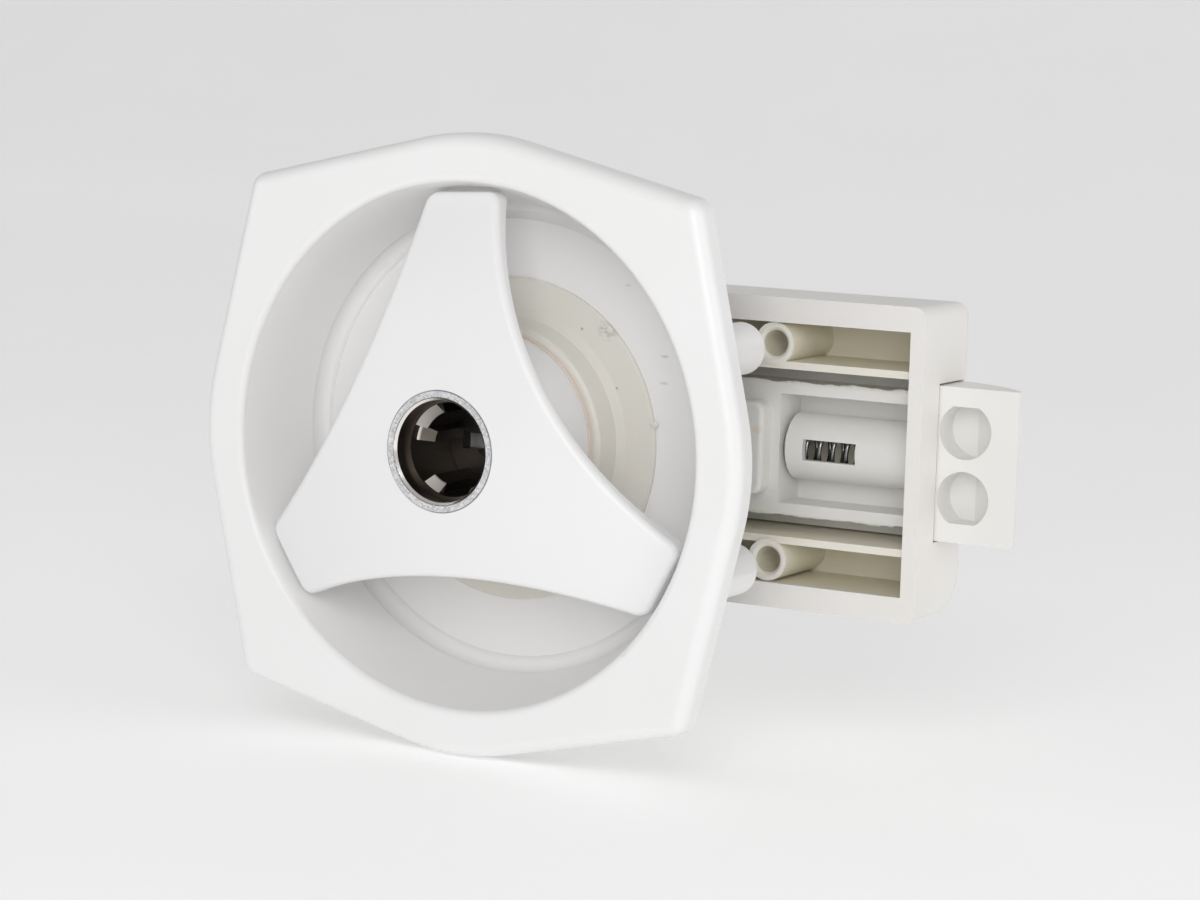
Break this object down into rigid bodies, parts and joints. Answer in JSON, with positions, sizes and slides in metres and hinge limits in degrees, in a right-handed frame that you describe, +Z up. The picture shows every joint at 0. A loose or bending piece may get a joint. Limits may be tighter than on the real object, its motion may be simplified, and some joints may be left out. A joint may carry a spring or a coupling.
{
  "type": "rotary knob slam latch",
  "caption": "Flush-mounted three-arm rotary knob latch with a sprung slam bolt, a bowl bezel, a rear latch case and a keyed barrel sleeve.",
  "frame": {"origin": "on the knob's axis, in the back face of the bezel's gasket where it meets the door", "axes": "+Z up, -Y out of the door towards the user, +X the way the bolt throws"},
  "size_m": [0.1294, 0.0575, 0.0994],
  "materials": {
    "bezel_white": "moulded white, satin with fine orange peel",
    "knob_white": "moulded white, satin",
    "case_white": "moulded warm white with flow marks",
    "bolt_white": "moulded warm white, low friction",
    "flange_ivory": "ivory nylon",
    "ring_peach": "peach wear ring",
    "sleeve_metal": "bright plated, cast sparkle on the end face",
    "seat_metal": "dark zinc",
    "spring_steel": "drawn wire, oiled",
    "zinc_steel": "bright zinc plate",
    "gasket_foam": "closed cell foam"
  },
  "bodies": {
    "bezel_and_case": {"bezel": "bezel_white", "bezel_gasket": "gasket_foam", "bearing_flange": "flange_ivory", "wear_ring": "ring_peach", "flange_retainer": "spring_steel", "latch_case": "case_white", "return_spring": "spring_steel", "bolt_spring": "spring_steel"},
    "knob_and_cam": {"knob": "knob_white", "key_sleeve": "sleeve_metal", "barrel_seat": "seat_metal", "thrust_washer": "zinc_steel", "snap_ring": "spring_steel", "spindle": "zinc_steel", "spindle_pin": "zinc_steel", "drive_cam": "seat_metal", "cam_washer": "zinc_steel", "cam_screw": "zinc_steel"},
    "bolt": {"bolt": "bolt_white"}
  },
  "joints": [
    {"name": "knob_turn", "type": "hinge", "parent": "bezel_and_case", "child": "knob_and_cam", "pos_m": [0, 0, 0], "axis": [0, 1, 0], "range_deg": [0, 75], "stiffness_Nm_per_rad": 0.12, "springref_deg": -22.92, "deforming": ["return_spring"]},
    {"name": "bolt_slide", "type": "slide", "parent": "bezel_and_case", "child": "bolt", "axis": [1, 0, 0], "range_m": [-0.012, 0], "deforming": ["bolt_spring"]}
  ],
  "couplings": [
    {"joint": "bolt_slide", "follows": "knob_turn", "m_per_rad": -0.0091673}
  ]
}
